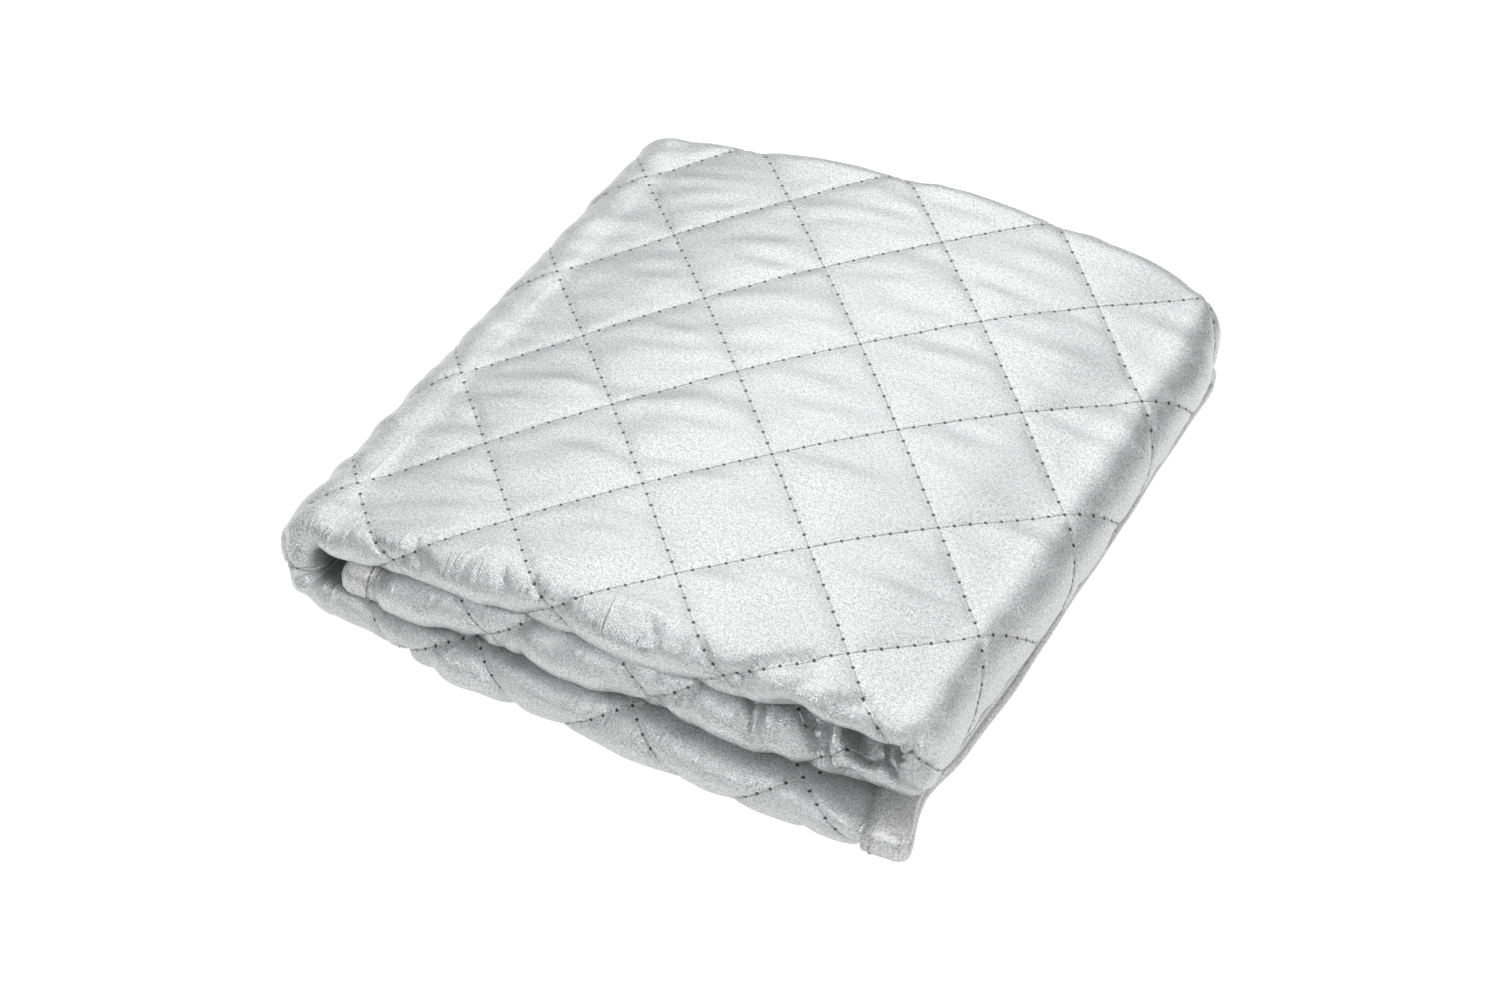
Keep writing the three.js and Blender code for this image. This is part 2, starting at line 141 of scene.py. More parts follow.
class Strip:
    """The folded strip's cross-sections at an array of runs: x and z of the padding's mid-plane, the
    way nx, nz that its silver face looks, and half its thickness."""

    def __init__(self, run):
        run = np.asarray(run, float)
        lower, fold = run < RUN_FOLD, (run >= RUN_FOLD) & (run < LEFT_X)
        upper = (run >= LEFT_X) & (run <= RIGHT_X)
        bend, middle = (run > RIGHT_X) & (run < RUN_MIDDLE), run >= RUN_MIDDLE
        where = [lower, fold, upper, bend, middle]
        flat_x = np.select([lower, middle],
                           [LEFT_X + RUN_FOLD - run, RIGHT_X + RUN_MIDDLE - run], run)
        left = np.pi * (run - RUN_FOLD) / LEFT_ARC
        right = np.pi * (run - RIGHT_X) / RIGHT_ARC
        top, thick, low = along(TOP, flat_x), along(UPPER_THICK, flat_x), along(LOWER_TOP, flat_x)
        mid_low, mid_high = low + PANEL_GAP, top - thick - PANEL_GAP
        zero = np.zeros_like(run)
        self.nx = np.select(where, [zero, -np.sin(left), zero, np.sin(right), zero])
        self.nz = np.select(where, [zero - 1, -np.cos(left), zero + 1, np.cos(right), zero - 1])
        self.x = np.select(where, [flat_x, LEFT_X + LEFT_R * self.nx, flat_x,
                                   RIGHT_X + RIGHT_R * self.nx, flat_x])
        self.z = np.select(where, [low / 2, LEFT_Z + LEFT_R * self.nz, top - thick / 2,
                                   RIGHT_Z + RIGHT_R * self.nz, (mid_low + mid_high) / 2])
        self.half = np.select(where, [low / 2, zero + LEFT_HALF, thick / 2, zero + RIGHT_HALF,
                                      (mid_high - mid_low) / 2])
        over = np.select(where[:2], [zero, smooth(left / np.pi)], zero + 1)
        table_front = (1 - over) * along(LOWER_FRONT, self.x) + over * along(UPPER_FRONT, self.x)
        self.hem = np.where(lower, smooth((self.x - 60) / (LOWER_END - 60)), 0)
        # The y of the centres of the two lengthwise folds.
        self.front = FRONT_Y + table_front + self.half
        corner = smooth((run - 82) / 32) * smooth((RUN_MIDDLE + 45 - run) / 45)
        self.back = (BACK_Y + BACK_SKEW * np.maximum(self.x, LEFT_X) - self.half
                     - BACK_CORNER * corner)
        # How much less the right bend stands out at its back and front ends.
        self.corner = 4.5 * np.where(run > RIGHT_X, self.nx, 0)
        self.from_end = np.minimum(run - RUN_LOWER_END, RUN_MIDDLE_END - run)
        self.run = run

    def place(self, y, w):
        """The point of a section at y, w out from its mid-plane."""
        x = (self.x + self.nx * w - self.hem * hem_sway(y) - self.corner * smooth((y - 82) / 34)
             - 0.8 * self.corner * smooth((-15 - y) / 65))
        z = self.z + self.nz * w
        return np.stack(np.broadcast_arrays(x, y, z), -1)

    def turn(self, b):
        """How far round the nearer lengthwise fold: below 0 on the outer ply, above 1 on a flap."""
        return np.maximum(self.front - b, b - self.back) / (np.pi * self.half)

    def face_point(self, b, lift):
        """Where the silver face is, raised by lift from the padding's outline."""
        turn = self.turn(b)
        centre = np.where(b < self.front, self.front, self.back)
        way = np.where(b < self.front, -1, 1)
        r = self.half + lift
        angle = np.pi * np.clip(turn, 0, 1)
        y = np.where(turn <= 0, b, centre + way * r * np.sin(angle)
                     - way * np.maximum(turn - 1, 0) * np.pi * self.half)
        return self.place(y, r * np.cos(angle))

    def flap_rows(self, b):
        """Stretches the rows of both flaps so that the last ones lie on the bound edges."""
        ends = []
        for centre, way, last in ((self.front, -1, B_LAST), (self.back, 1, B_FIRST)):
            roll_end = centre + way * np.pi * self.half
            reach = np.abs(centre - MEET_Y) - MEET_GAP
            ends.append(np.where((b - roll_end) * way > 0,
                                 roll_end + (b - roll_end) * reach / np.abs(last - roll_end), b))
        return np.where(b < 0, ends[0], ends[1])

    def from_edge(self, b):
        """Distance in from the nearest bound edge."""
        inward = (self.turn(b) - 1) * np.pi * self.half
        reach = np.where(b < 0, MEET_Y - self.front, self.back - MEET_Y) - MEET_GAP
        return np.minimum(np.where(inward > 0, reach - inward, 99.0), self.from_end)


# Rows of mesh vertices across the sheet, from one bound edge to the other, and the number of rows
# by which the quilting is shifted at the front of the lower panel.
ROWS = np.arange(86, -182, -1)
B_ROWS = ORIGIN_Y + ROWS * HALF_Y / CELLS
B_FIRST, B_LAST = B_ROWS[0], B_ROWS[-1]
SLIP_ROWS = 4


# ---- quilting simulation ------------------------------------------------------------------

SIM_SCALE = 0.03  # metres in the simulation for each millimetre of cloth
SPARE_CLOTH = np.array([1.02, 1.08, 1])  # size of the cloth over the size of its room
SIM_FRAMES = 30
PATCH_X, PATCH_Y = 8 * CELLS, 10 * CELLS  # 4 by 5 diamonds


def blur(field, times):
    """Averages every value with its four neighbours, a number of times."""
    for _ in range(times):
        field = (field + np.roll(field, 1, 0) + np.roll(field, -1, 0)
                 + np.roll(field, 1, 1) + np.roll(field, -1, 1)) / 5
    return field


def simulate_patch(cells_x, cells_y):
    """A flat patch of quilted cloth with more cloth than room: pinned along its stitch lines and
    blown up from below, so that each diamond crowns and wrinkles. Returns its displacement in mm."""
    nx, ny = cells_x + 1, cells_y + 1
    i, j = np.meshgrid(np.arange(nx), np.arange(ny), indexing="ij")
    flat = np.stack([i * HALF_X / CELLS, j * HALF_Y / CELLS, 0.0 * i], -1)
    rough = blur(np.random.default_rng(7).normal(0, 1, (nx, ny)), 3)
    rough = (rough + sum(np.roll(rough, k, 0) for k in (-2, -1, 1, 2))) / 5
    held = ((i - j) % (2 * CELLS) == 0) | ((i + j) % (2 * CELLS) == 0)
    held |= (i == 0) | (j == 0) | (i == cells_x) | (j == cells_y)
    start = flat.copy()
    start[..., 2] = np.where(held, 0, 0.3 + 1.5 * rough)
    start = start.reshape(-1, 3) * SIM_SCALE
    corner = (i * ny + j)[:-1, :-1].ravel()
    mesh = bpy.data.meshes.new("patch")
    cells = np.stack([corner, corner + ny, corner + ny + 1, corner + 1], -1)
    mesh.from_pydata(start.tolist(), [], cells.tolist())
    patch = bpy.data.objects.new("patch", mesh)
    bpy.context.scene.collection.objects.link(patch)
    patch.shape_key_add(name="Basis")
    rest = patch.shape_key_add(name="rest")
    rest.value = 0
    rest.data.foreach_set("co", (start * SPARE_CLOTH).ravel())
    patch.vertex_groups.new(name="pin").add(np.flatnonzero(held.ravel()).tolist(), 1.0, "REPLACE")
    cloth = patch.modifiers.new("cloth", "CLOTH")
    settings = cloth.settings
    settings.vertex_group_mass = "pin"
    settings.rest_shape_key = rest
    settings.quality = 5
    settings.mass = 0.3
    settings.air_damping = 1
    settings.tension_stiffness = settings.compression_stiffness = 40
    settings.shear_stiffness = 10
    settings.bending_stiffness = 0.01
    settings.use_pressure = True
    settings.uniform_pressure_force = 2
    settings.use_pressure_volume = False
    settings.effector_weights.gravity = 0
    cloth.collision_settings.use_collision = False
    cloth.point_cache.frame_start, cloth.point_cache.frame_end = 1, SIM_FRAMES
    scene = bpy.context.scene
    for frame_number in range(1, SIM_FRAMES + 1):
        scene.frame_set(frame_number)
    done = patch.evaluated_get(bpy.context.evaluated_depsgraph_get()).to_mesh()
    co = np.empty(len(done.vertices) * 3, np.float32)
    done.vertices.foreach_get("co", co)
    bpy.data.objects.remove(patch)
    scene.frame_set(1)
    return co.reshape(nx, ny, 3) / SIM_SCALE - flat


patch = simulate_patch(PATCH_X, PATCH_Y)
CROWN = float(np.percentile(patch[..., 2], 85))


def mirror(k, n):
    """Folds an index back and forth into 0..n; the second value is -1 on the mirrored laps."""
    k = np.mod(k, 2 * n)
    return np.where(k > n, 2 * n - k, k), np.where(k > n, -1.0, 1.0)


def seam_slip(run, b):
    """How far the quilting is shifted across the sheet, at the front of the lower panel."""
    return SLIP_ROWS * HALF_Y / CELLS * smooth((RUN_FOLD - run) / 30) * smooth((-60 - b) / 40)


def puff(run, b):
    """The simulated displacement at a point of the sheet: along b, and outwards."""
    i, _ = mirror((run - ORIGIN_X) / HALF_X * CELLS, PATCH_X)
    j, sj = mirror((ORIGIN_Y - b + seam_slip(run, b)) / HALF_Y * CELLS + 2 * CELLS, PATCH_Y)
    i0 = np.minimum(np.floor(i).astype(int), PATCH_X - 1)
    j0 = np.minimum(np.floor(j).astype(int), PATCH_Y - 1)
    fi, fj = (i - i0)[..., None], (j - j0)[..., None]
    d = (patch[i0, j0] * (1 - fi) * (1 - fj) + patch[i0 + 1, j0] * fi * (1 - fj)
         + patch[i0, j0 + 1] * (1 - fi) * fj + patch[i0 + 1, j0 + 1] * fi * fj)
    return -d[..., 1] * sj, d[..., 2]


# ---- the folded shape ---------------------------------------------------------------------

# How far the wrinkles, the crumpled rolls and the inside of the outer fold stand out, how deep the
# groove beside a tape is, and how far the cloth's shift along b is carried over.
WRINKLE_HEIGHT, CRUMPLE_HEIGHT, MOUTH_HEIGHT = 0.4, 0.42, 5.2
GROOVE_DEPTH = 1.1
SHIFT_SHARE = 0.8


def lattice(run, b):
    """Seam coordinates: quilting seams are the lines where either one is whole."""
    s, t = (run - ORIGIN_X) / HALF_X, (b - seam_slip(run, b) - ORIGIN_Y) / HALF_Y
    return (s - t) / 2, (s + t) / 2


def bump(d, width):
    """A smooth bump: 1 at d = 0, and next to nothing from twice the width on."""
    return np.exp(-(d / width) ** 2)


def wave(run, b, length, seed):
    """Slow unevenness between -1 and 1."""
    p = np.random.default_rng(seed).uniform(0, 2 * np.pi, 6)
    return (np.sin(run / length + p[0] + 0.7 * np.sin(b / length * 0.8 + p[1]))
            + np.sin(b / length * 1.1 + p[2] + 0.8 * np.sin(run / length * 0.7 + p[3]))
            + np.sin((run + b) / length * 0.8 + p[4])) / 3


def stitch_pull(run, b):
    """How hard the quilting pulls the cloth in: 1 at a needle hole, less between holes, 0 far off."""
    u, v = lattice(run, b)
    pull = 0
    for across, ahead in ((u, v), (v, u)):
        d = np.abs(across - np.round(across)) * SEAM_PITCH
        hole = np.cos(np.pi * (ahead * STITCHES - np.round(ahead * STITCHES)))
        pull = np.maximum(pull, bump(d, 1.5) * (0.55 + 0.45 * hole ** 2))
    return pull


def room(strip, b):
    """How far the padding may stand out: 0.1 where panels press together, up to 1 on open rolls."""
    run, turn = strip.run, strip.turn(b)
    roll = smooth(1 - np.abs(turn - 0.5) / 0.75) * np.where(b < 0, 1.0, 0.55)
    roll = np.where(run < RUN_FOLD, np.minimum(roll, 0.25 + smooth((turn - 0.1) / 0.45)), roll)
    top = smooth((run - LEFT_X + 6) / 12) * smooth((RUN_MIDDLE - run) / 14) * smooth((0.6 - turn) / 0.2)
    open_bend = smooth((run - RUN_FOLD) / 10) * smooth((LEFT_X + 12 - run) / 18)
    return np.maximum(np.maximum(roll, 0.1), np.maximum(0.5 * top, 0.34 * open_bend))


def random_field(run_blur, b_blur, seed):
    """Smooth unevenness with unit spread on a 1 mm grid, blurred by one length along the strip and
    by another across it."""
    shape = (1024, 512)
    noise = np.fft.fft2(np.random.default_rng(seed).normal(0, 1, shape))
    fr, fb = np.meshgrid(np.fft.fftfreq(shape[0]), np.fft.fftfreq(shape[1]), indexing="ij")
    soft = np.exp(-2 * np.pi ** 2 * ((fr * run_blur) ** 2 + (fb * b_blur) ** 2))
    field = np.fft.ifft2(noise * soft).real
    return field / field.std()


def sample(field, run, b):
    """A random field's value at a point of the sheet."""
    i, j = np.mod(run, field.shape[0] - 1), np.mod(b, field.shape[1] - 1)
    i0, j0 = np.floor(i).astype(int), np.floor(j).astype(int)
    fi, fj = i - i0, j - j0
    return (field[i0, j0] * (1 - fi) * (1 - fj) + field[i0 + 1, j0] * fi * (1 - fj)
            + field[i0, j0 + 1] * (1 - fi) * fj + field[i0 + 1, j0 + 1] * fi * fj)


DRAPE = random_field(8.5, 2.3, 21)
CRUMPLE = random_field(2.7, 3.2, 5)


def wrinkles(run, b):
    """Long soft wrinkles inside each diamond, fading out at the seams."""
    u, v = lattice(run, b)
    middle = np.sqrt(np.abs(np.sin(np.pi * u) * np.sin(np.pi * v)))
    return sample(DRAPE, run, b - 0.16 * run) * (0.2 + 0.8 * middle)


# Folds and dents at the ends of the rolls: points (run, b) of each stroke, then width and depth
# in mm. A negative depth is a ridge.
STROKES = [
    ([(68, -125.5), (97, -125.5)], 7.6, 7.4),
    ([(66, -115), (71, -106)], 2.2, 1.3),
    ([(79, -111), (86, -104)], 2.0, 1.7),
    ([(96, -117), (104, -109)], 2.2, 2.6),
    ([(67, -100), (59, -106), (50, -118)], 1.8, 1.5),
    ([(20, -112), (27, -124)], 2.0, 1.2),
    ([(34, -113), (38, -124)], 1.8, 1.0),
    ([(-30, -113), (-24, -125)], 1.9, 1.2),
    ([(-62, -111), (-56, -122)], 1.8, 1.0),
    ([(-8, -114), (-5, -124)], 1.8, 0.9),
    ([(104, -106), (111, -122)], 1.7, 2.2),
    ([(116, -106), (121, -124)], 1.7, 2.2),
    ([(128, -104), (132, -122)], 1.6, 1.8),
    ([(185, -137), (181, -121), (173, -115)], 2.3, 4.2),
    ([(179, -137), (176, -121), (169, -116)], 1.6, -1.0),
    ([(168, -138), (163, -124)], 3.4, 6.4),
    ([(155, -138), (149, -124)], 4.2, 7.2),
    ([(160, -134), (156, -119)], 2.2, -3.4),
    ([(147, -136), (143, -125), (138, -119)], 2.0, 4.6),
    ([(141, -137), (136, -128)], 1.9, 3.4),
    ([(215, -132), (211, -116)], 2.0, 1.4),
    ([(262, -130), (258, -116)], 2.0, 1.2),
    ([(-410, -112), (-403, -126)], 2.0, 1.6),
    ([(-330, -114), (-325, -126)], 2.0, 1.3),
    ([(-205, -108), (-198, -122)], 2.2, 2.0),
    ([(-190, -106), (-186, -120)], 2.0, 2.0),
    ([(-232, -112), (-226, -124)], 2.0, 1.5),
]


def mouth(strip, b):
    """Where the inside of the outer fold crowds in towards its middle, at the front end."""
    run, turn = strip.run, strip.turn(b)
    window = smooth((run - RUN_FOLD - 4) / 18) * smooth((LEFT_X - 4 - run) / 18) * (b < 0)
    return window * smooth((turn - 0.32) / 0.35) * smooth((1.8 - turn) / 0.7)


def stroke_depth(run, b):
    """How deep the dents go in at a point of the sheet; below 0 on a ridge."""
    down, up = 0.0, 0.0
    for path, width, depth in STROKES:
        near = np.full(np.shape(run), 1e3)
        for (r0, b0), (r1, b1) in zip(path, path[1:]):
            d = np.array([r1 - r0, b1 - b0], float)
            t = np.clip(((run - r0) * d[0] + (b - b0) * d[1]) / (d @ d), 0, 1)
            near = np.minimum(near, np.hypot(run - r0 - t * d[0], b - b0 - t * d[1]))
        if depth > 0:
            down = np.maximum(down, depth * bump(near, width))
        else:
            up = np.maximum(up, -depth * bump(near, width))
    return down - up


def lift_at(strip, b):
    """Everything that raises or sinks the silver face from the padding's plain outline."""
    run, turn, amp = strip.run, strip.turn(b), room(strip, b)
    roll = smooth(1 - np.abs(turn - 0.45) / 0.6)
    front = np.where(b < 0, 1.0, 0.35) * np.where(run < RUN_FOLD, 0.6, 1.0)
    _, up = puff(run, b)
    lift = (up - 0.8 * CROWN) * amp * (1.0 + 0.7 * roll * front)
    lift -= (0.5 + 1.2 * roll * front) * stitch_pull(run, b) * smooth(amp * 4)
    lift += (0.35 + 0.5 * roll) * amp * wave(run, b, 15, 3)
    lift += WRINKLE_HEIGHT * wrinkles(run, b) * smooth(amp * 2.4) * (1 - roll)
    lift += CRUMPLE_HEIGHT * sample(CRUMPLE, run, b) * roll * front
    lift += MOUTH_HEIGHT * mouth(strip, b) * (1 + 0.2 * np.sin(run / 2.6))
    lift = np.maximum(lift - stroke_depth(run, b), 1.2 - strip.half)
    edge = strip.from_edge(b)
    lift = lift * smooth((edge - 2) / 16) - EDGE_PINCH * smooth((18 - edge) / 5)
    lift -= GROOVE_DEPTH * bump(edge - TAPE_WIDE - 0.6, 1.0)
    on_floor = (run < RUN_FOLD + 4) & (turn < 0.12)
    return np.where(on_floor, np.minimum(lift, -0.05), lift)


def face_at(strip, b, extra=0.0):
    """Points of the finished silver face, or extra above it."""
    along_b, _ = puff(strip.run, b)
    return strip.face_point(b + along_b * room(strip, b) * SHIFT_SHARE, lift_at(strip, b) + extra)


def lining_at(strip, b):
    """Points of the lining, just off the padding's mid-plane."""
    return strip.face_point(b, 0.45 + 0.9 * smooth((18 - strip.from_edge(b)) / 5) - strip.half)


# ---- meshes -------------------------------------------------------------------------------

THIN = 0.15  # width of the columns at both ends of a length of the sheet
LINING_STEP = 4  # cells of the face for each cell of the lining

# Along a quilting stitch: parts of its length, and the thread's height over the cloth there.
STITCH_WAY = np.linspace(0.06, 0.94, 6)
STITCH_RISE = np.array([-0.42, -0.04, 0.1, 0.1, -0.04, -0.42])
# The seams that can be on the sheet, counted from the origin, and the part of it that shows them.
FIRST_SEAM, LAST_SEAM = -16, 20
SEAMS_FROM_B, SEAMS_TO_B = -175, 150


def finished(points):
    """Points in metres, in the centred frame."""
    return (np.asarray(points) + SHIFT) / 1000


def make_mesh(name, points, faces, **uv_layers):
    """A smooth mesh object from points in mm; a uv layer holds a pair for every point."""
    mesh = bpy.data.meshes.new(name)
    mesh.from_pydata(finished(points).tolist(), [], [list(map(int, f)) for f in faces])
    corner = np.empty(len(mesh.loops), np.int32)
    mesh.loops.foreach_get("vertex_index", corner)
    for layer, uv in uv_layers.items():
        mesh.uv_layers.new(name=layer).data.foreach_set("uv", uv[corner].astype(np.float32).ravel())
    mesh.shade_smooth()
    obj = bpy.data.objects.new(name, mesh)
    bpy.context.scene.collection.objects.link(obj)
    return obj


def zipper(a, b):
    """Triangles between two rows of vertex indices that start and end together."""
    faces, i, j = [], 0, 0
    while i < len(a) - 1 or j < len(b) - 1:
        if j == len(b) - 1 or (i < len(a) - 1 and (i + 1) / (len(a) - 1) <= (j + 1) / (len(b) - 1)):
            faces.append((a[i], a[i + 1], b[j]))
            i += 1
        else:
            faces.append((a[i], b[j + 1], b[j]))
            j += 1
    return faces


def cell_corners(index):
    """The four corners of every cell in a grid of vertex indices, in order round the cell."""
    return index[:-1, :-1], index[1:, :-1], index[1:, 1:], index[:-1, 1:]


def thinned(count):
    """Every LINING_STEPth of a number of grid lines, and the last one."""
    return np.unique(np.append(np.arange(0, count, LINING_STEP), count - 1))


def ply_solid(name, from_run, to_run):
    """A length of the sheet as one closed body: the silver face outside, the lining inside."""
    step = HALF_X / CELLS
    first = math.ceil((from_run - ORIGIN_X) / step + 0.3)
    last = math.floor((to_run - ORIGIN_X) / step - 0.3)
    columns = np.arange(first, last + 1)
    # Thin end columns keep the shading even across the cut between two lengths of the sheet.
    runs = np.concatenate([[from_run, from_run + THIN], ORIGIN_X + columns * step,
                           [to_run - THIN, to_run]])
    run, row_b = np.meshgrid(runs, B_ROWS, indexing="ij")
    strip = Strip(run)
    b = strip.flap_rows(row_b)
    face = face_at(strip, b)
    outside = np.arange(run.size).reshape(run.shape)
    p, q, r, s = cell_corners(outside)
    # Cells are cut along the seams: a rising seam goes from a cell's fourth corner to its second.
    column = np.concatenate([[first - 1, first - 1], columns, [last + 1]])[:, None]
    slipped = (B_ROWS[None, :-1] < -100) & (to_run <= RUN_FOLD)
    row = ROWS[None, :-1] - SLIP_ROWS * slipped
    rising = (column - row + 1) % (2 * CELLS) == 0
    rising_cut = np.concatenate([np.stack([p, q, s], -1), np.stack([q, r, s], -1)], -1)
    other_cut = np.concatenate([np.stack([p, q, r], -1), np.stack([p, r, s], -1)], -1)
    triangles = np.where(rising[..., None], rising_cut, other_cut).reshape(-1, 3)
    keep = np.ix_(thinned(run.shape[0]), thinned(run.shape[1]))
    lining_run, lining_b = run[keep], b[keep]
    lining = lining_at(Strip(lining_run), lining_b)
    inside = run.size + np.arange(lining_run.size).reshape(lining_run.shape)
    quads = np.stack(cell_corners(inside)[::-1], -1).reshape(-1, 4)
    rims = (zipper(outside[0], inside[0]) + zipper(inside[-1], outside[-1])
            + zipper(inside[:, 0], outside[:, 0]) + zipper(outside[:, -1], inside[:, -1]))
    faces = triangles.tolist() + quads.tolist() + rims
    all_runs = np.concatenate([run.ravel(), lining_run.ravel()])
    all_b = np.concatenate([b.ravel(), lining_b.ravel()])
    obj = make_mesh(name, np.concatenate([face.reshape(-1, 3), lining.reshape(-1, 3)]), faces,
                    sheet=np.stack([all_runs, all_b], -1) / 1000,
                    quilt=np.stack(lattice(all_runs, all_b), -1))
    for polygon in obj.data.polygons[len(faces) - len(rims):]:
        polygon.use_smooth = False
    return obj


def tube_rings(centres, radius, sides):
    """Rings of points round a polyline, one at each of its points."""
    ahead = np.gradient(centres, axis=0)
    ahead /= np.linalg.norm(ahead, axis=1)[:, None]
    ref = np.array([0.31, 0.17, 0.93])
    side = np.cross(ahead, ref)
    side /= np.linalg.norm(side, axis=1)[:, None]
    up = np.cross(side, ahead)
    angle = np.linspace(0, 2 * np.pi, sides, endpoint=False)
    ring = np.cos(angle)[None, :, None] * side[:, None] + np.sin(angle)[None, :, None] * up[:, None]
    return centres[:, None] + ring * np.asarray(radius)[:, None, None]


def tubes(name, lines, radius, sides=6):
    """Many short threads as one mesh; each is a closed tube that narrows to its ends."""
    points, faces, base = [], [], 0
    for line in lines:
        n = len(line)
        thick = radius * np.array([0.45] + [1.0] * (n - 2) + [0.45])
        points.append(tube_rings(np.asarray(line), thick, sides).reshape(-1, 3))
        for k in range(n - 1):
            for m in range(sides):
                p, q = base + k * sides + m, base + k * sides + (m + 1) % sides
                faces.append((p, q, q + sides, p + sides))
        faces.append([base + m for m in reversed(range(sides))])
        faces.append([base + (n - 1) * sides + m for m in range(sides)])
        base += n * sides
    return make_mesh(name, np.concatenate(points), faces)


def on_show(strip, b):
    """Seams that can be seen from outside, clear of the edge tapes."""
    turn = strip.turn(b)
    outside = (strip.run < RUN_MIDDLE + 4) & (turn < 0.6)
    return (strip.from_edge(b) > 14.5) & (outside | ((turn > -0.1) & (turn < 1.3)))


def quilt_stitches(from_run, to_run):
    """Stitches between needle holes along every seam on show in a length of the sheet."""
    lines = []
    s0, s1 = (from_run - ORIGIN_X) / HALF_X, (to_run - ORIGIN_X) / HALF_X
    t0, t1 = (SEAMS_FROM_B - ORIGIN_Y) / HALF_Y, (SEAMS_TO_B - ORIGIN_Y) / HALF_Y
    count = np.arange(FIRST_SEAM * STITCHES, LAST_SEAM * STITCHES)[:, None]
    ahead = count / STITCHES + STITCH_WAY / STITCHES
    for way in (1, -1):
        for seam in range(FIRST_SEAM, LAST_SEAM):
            s, t = ahead + seam, way * (ahead - seam)
            inside = (s.min(1) > s0) & (s.max(1) < s1) & (t.min(1) > t0) & (t.max(1) < t1)
            if not inside.any():
                continue
            run, even_b = ORIGIN_X + s[inside] * HALF_X, ORIGIN_Y + t[inside] * HALF_Y
            b = even_b
            for _ in range(4):
                b = even_b + seam_slip(run, b)
            strip = Strip(run)
            shown = on_show(strip, b).all(1)
            if shown.any():
                lines += list(face_at(strip, b, STITCH_RISE)[shown])
    return lines


# ---- materials ----------------------------------------------------------------------------

class Shader:
    """A node material, with short ways to add its nodes."""

    def __init__(self, name):
        self.material = bpy.data.materials.new(name)
        self.material.use_nodes = True
        self.tree = self.material.node_tree
        self.surface = self.tree.nodes["Principled BSDF"].inputs

    def plug(self, socket, value):
        """Links a node's output to the socket, or sets the socket to a plain value."""
        if isinstance(value, bpy.types.NodeSocket):
            self.tree.links.new(value, socket)
        else:
            socket.default_value = value

    def node(self, kind, **inputs):
        """A new node; in an input's name, _ stands for a space."""
        node = self.tree.nodes.new(kind)
        for name, value in inputs.items():
            self.plug(node.inputs[name.replace("_", " ")], value)
        return node

    def calc(self, operation, *values):
        node = self.node("ShaderNodeMath")
        node.operation = operation
        for socket, value in zip(node.inputs, values):
            self.plug(socket, value)
        return node.outputs[0]

    def noise(self, vector, **inputs):
        return self.node("ShaderNodeTexNoise", Vector=vector, **inputs).outputs["Fac"]

    def stripes(self, vector, **inputs):
        return self.node("ShaderNodeTexWave", Vector=vector, **inputs).outputs["Fac"]

    def remap(self, value, low, high, to_low=0.0, to_high=1.0):
        return self.node("ShaderNodeMapRange", Value=value, From_Min=low, From_Max=high,
                         To_Min=to_low, To_Max=to_high).outputs["Result"]

    def mix(self, factor, first, second):
        return self.node("ShaderNodeMixRGB", Fac=factor, Color1=first, Color2=second).outputs["Color"]

    def relief(self, height, distance, strength=1.0, **under):
        return self.node("ShaderNodeBump", Height=height, Distance=distance, Strength=strength,
                         **under).outputs["Normal"]

    def layer(self, name, **mapping):
        """A mesh's texture coordinates, scaled or turned."""
        uv_map = self.node("ShaderNodeUVMap")
        uv_map.uv_map = name
        return self.node("ShaderNodeMapping", Vector=uv_map.outputs["UV"], **mapping).outputs["Vector"]

    def split(self, vector):
        return self.node("ShaderNodeSeparateXYZ", Vector=vector).outputs


def grey(value, warm=0.0):
    return (value + warm, value, value - warm, 1)


def painted_hole_shade(shader):
    """Where painted shade darkens the needle holes of the quilting seams: 1 inside a hole, 0 outside.
    """
    def off_whole(value):
        return shader.calc("ABSOLUTE", shader.calc("SUBTRACT", value, shader.calc("ROUND", value)))

    quilt = shader.split(shader.layer("quilt"))
    mask = 0.0
    for across, ahead in (("X", "Y"), ("Y", "X")):
        d = shader.calc("MULTIPLY", off_whole(quilt[across]), SEAM_PITCH)
        step = shader.calc("MULTIPLY", quilt[ahead], float(STITCHES))
        e = shader.calc("MULTIPLY", off_whole(step), SIDE / STITCHES)
        squares = [shader.calc("POWER", distance, 2.0) for distance in (d, e)]
        radius = shader.calc("SQRT", shader.calc("ADD", *squares))
        mask = shader.calc("MAXIMUM", mask, shader.remap(radius, 0.8, 0.35))
    return mask


def fold_lines(shader, normal):
    """Small creases that run round the front rolls, too fine for the mesh."""
    stretched = shader.layer("sheet", Scale=(1.0, 0.32, 1.0), Rotation=(0, 0, 0.2))
    folds = shader.noise(stretched, Scale=210, Detail=4, Roughness=0.55, Distortion=0.6)
    on_roll = shader.remap(shader.split(shader.layer("sheet"))["Y"], -0.1, -0.113, 0.12, 1.0)
    ridge = shader.calc("ABSOLUTE", shader.calc("SUBTRACT", folds, 0.5))
    return shader.relief(shader.calc("MULTIPLY", ridge, on_roll), 0.0011, Normal=normal)


